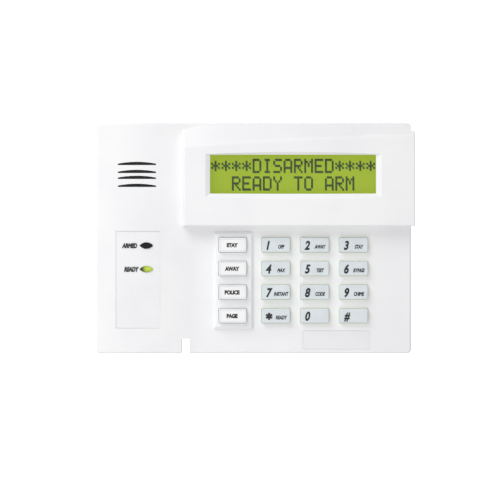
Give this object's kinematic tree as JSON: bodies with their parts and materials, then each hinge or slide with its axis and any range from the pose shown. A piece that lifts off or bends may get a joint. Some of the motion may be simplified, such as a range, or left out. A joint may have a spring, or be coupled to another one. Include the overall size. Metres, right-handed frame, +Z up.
{
  "type": "alarm keypad panel",
  "caption": "Wall-mounted alarm keypad panel: raised display, number and function keys that press in, status lamps, sounder slots, and a back plate that hooks to the case.",
  "frame": {"origin": "centre of the case's outline on the wall face of the back plate", "axes": "+X to the right seen from the front, +Z up, front faces -Y, +Y into the wall"},
  "size_m": [0.1834, 0.032, 0.133],
  "materials": {
    "case_plastic": "fine moulded texture, off-white",
    "back_plastic": "fine moulded texture, off-white",
    "badge_plastic": "satin",
    "board_laminate": "green solder mask",
    "nylon": "natural nylon",
    "black_plastic": "moulded black",
    "backlight_acrylic": "diffusing acrylic",
    "display_glass": "yellow-green liquid crystal glass",
    "black_steel": "black pressed steel",
    "clear_acrylic": "clear, polished",
    "key_rubber": "satin pale blue-grey silicone",
    "carbon_rubber": "carbon-filled",
    "label_film": "printed polyester film",
    "insert_film": "printed white film",
    "dark_lens": "dark tinted, glossy",
    "green_lens": "lit yellow-green, glossy",
    "red_led": "tinted epoxy",
    "green_led": "tinted epoxy",
    "brass_disc": "rolled",
    "zinc_steel": "zinc plated",
    "chip_plastic": "moulded epoxy",
    "can_aluminium": "drawn can",
    "terminal_plastic": "moulded green"
  },
  "bodies": {
    "housing": {"front_case": "case_plastic", "back_plate": "back_plastic", "badge_plate": "badge_plastic", "circuit_board": "board_laminate", "display_board": "board_laminate", "display_spacers": "nylon", "display_header": "black_plastic", "display_backlight": "backlight_acrylic", "display_glass": "display_glass", "display_bezel": "black_steel", "display_pane": "clear_acrylic", "number_key_mat": "key_rubber", "function_key_mat": "key_rubber", "status_label": "label_film", "armed_lens": "dark_lens", "ready_lens": "green_lens", "armed_led": "red_led", "ready_led": "green_led", "sounder_case": "black_plastic", "sounder_disc": "brass_disc", "board_screws": "zinc_steel", "controller_chip": "chip_plastic", "capacitors": "can_aluminium", "wire_terminal": "terminal_plastic"},
    "key_1": {"key_1": "key_rubber", "contact_1": "carbon_rubber"},
    "key_2": {"key_2": "key_rubber", "contact_2": "carbon_rubber"},
    "key_3": {"key_3": "key_rubber", "contact_3": "carbon_rubber"},
    "key_4": {"key_4": "key_rubber", "contact_4": "carbon_rubber"},
    "key_5": {"key_5": "key_rubber", "contact_5": "carbon_rubber"},
    "key_6": {"key_6": "key_rubber", "contact_6": "carbon_rubber"},
    "key_7": {"key_7": "key_rubber", "contact_7": "carbon_rubber"},
    "key_8": {"key_8": "key_rubber", "contact_8": "carbon_rubber"},
    "key_9": {"key_9": "key_rubber", "contact_9": "carbon_rubber"},
    "key_star": {"key_star": "key_rubber", "contact_star": "carbon_rubber"},
    "key_0": {"key_0": "key_rubber", "contact_0": "carbon_rubber"},
    "key_hash": {"key_hash": "key_rubber", "contact_hash": "carbon_rubber"},
    "function_key_1": {"function_key_1": "key_rubber", "function_insert_1": "insert_film", "function_contact_1": "carbon_rubber"},
    "function_key_2": {"function_key_2": "key_rubber", "function_insert_2": "insert_film", "function_contact_2": "carbon_rubber"},
    "function_key_3": {"function_key_3": "key_rubber", "function_insert_3": "insert_film", "function_contact_3": "carbon_rubber"},
    "function_key_4": {"function_key_4": "key_rubber", "function_insert_4": "insert_film", "function_contact_4": "carbon_rubber"}
  },
  "joints": [
    {"name": "key_1_press", "type": "slide", "parent": "housing", "child": "key_1", "axis": [0, 1, 0], "range_m": [0, 0.0012], "stiffness_N_per_m": 900},
    {"name": "key_2_press", "type": "slide", "parent": "housing", "child": "key_2", "axis": [0, 1, 0], "range_m": [0, 0.0012], "stiffness_N_per_m": 900},
    {"name": "key_3_press", "type": "slide", "parent": "housing", "child": "key_3", "axis": [0, 1, 0], "range_m": [0, 0.0012], "stiffness_N_per_m": 900},
    {"name": "key_4_press", "type": "slide", "parent": "housing", "child": "key_4", "axis": [0, 1, 0], "range_m": [0, 0.0012], "stiffness_N_per_m": 900},
    {"name": "key_5_press", "type": "slide", "parent": "housing", "child": "key_5", "axis": [0, 1, 0], "range_m": [0, 0.0012], "stiffness_N_per_m": 900},
    {"name": "key_6_press", "type": "slide", "parent": "housing", "child": "key_6", "axis": [0, 1, 0], "range_m": [0, 0.0012], "stiffness_N_per_m": 900},
    {"name": "key_7_press", "type": "slide", "parent": "housing", "child": "key_7", "axis": [0, 1, 0], "range_m": [0, 0.0012], "stiffness_N_per_m": 900},
    {"name": "key_8_press", "type": "slide", "parent": "housing", "child": "key_8", "axis": [0, 1, 0], "range_m": [0, 0.0012], "stiffness_N_per_m": 900},
    {"name": "key_9_press", "type": "slide", "parent": "housing", "child": "key_9", "axis": [0, 1, 0], "range_m": [0, 0.0012], "stiffness_N_per_m": 900},
    {"name": "key_star_press", "type": "slide", "parent": "housing", "child": "key_star", "axis": [0, 1, 0], "range_m": [0, 0.0012], "stiffness_N_per_m": 900},
    {"name": "key_0_press", "type": "slide", "parent": "housing", "child": "key_0", "axis": [0, 1, 0], "range_m": [0, 0.0012], "stiffness_N_per_m": 900},
    {"name": "key_hash_press", "type": "slide", "parent": "housing", "child": "key_hash", "axis": [0, 1, 0], "range_m": [0, 0.0012], "stiffness_N_per_m": 900},
    {"name": "function_key_1_press", "type": "slide", "parent": "housing", "child": "function_key_1", "axis": [0, 1, 0], "range_m": [0, 0.0012], "stiffness_N_per_m": 900},
    {"name": "function_key_2_press", "type": "slide", "parent": "housing", "child": "function_key_2", "axis": [0, 1, 0], "range_m": [0, 0.0012], "stiffness_N_per_m": 900},
    {"name": "function_key_3_press", "type": "slide", "parent": "housing", "child": "function_key_3", "axis": [0, 1, 0], "range_m": [0, 0.0012], "stiffness_N_per_m": 900},
    {"name": "function_key_4_press", "type": "slide", "parent": "housing", "child": "function_key_4", "axis": [0, 1, 0], "range_m": [0, 0.0012], "stiffness_N_per_m": 900}
  ]
}
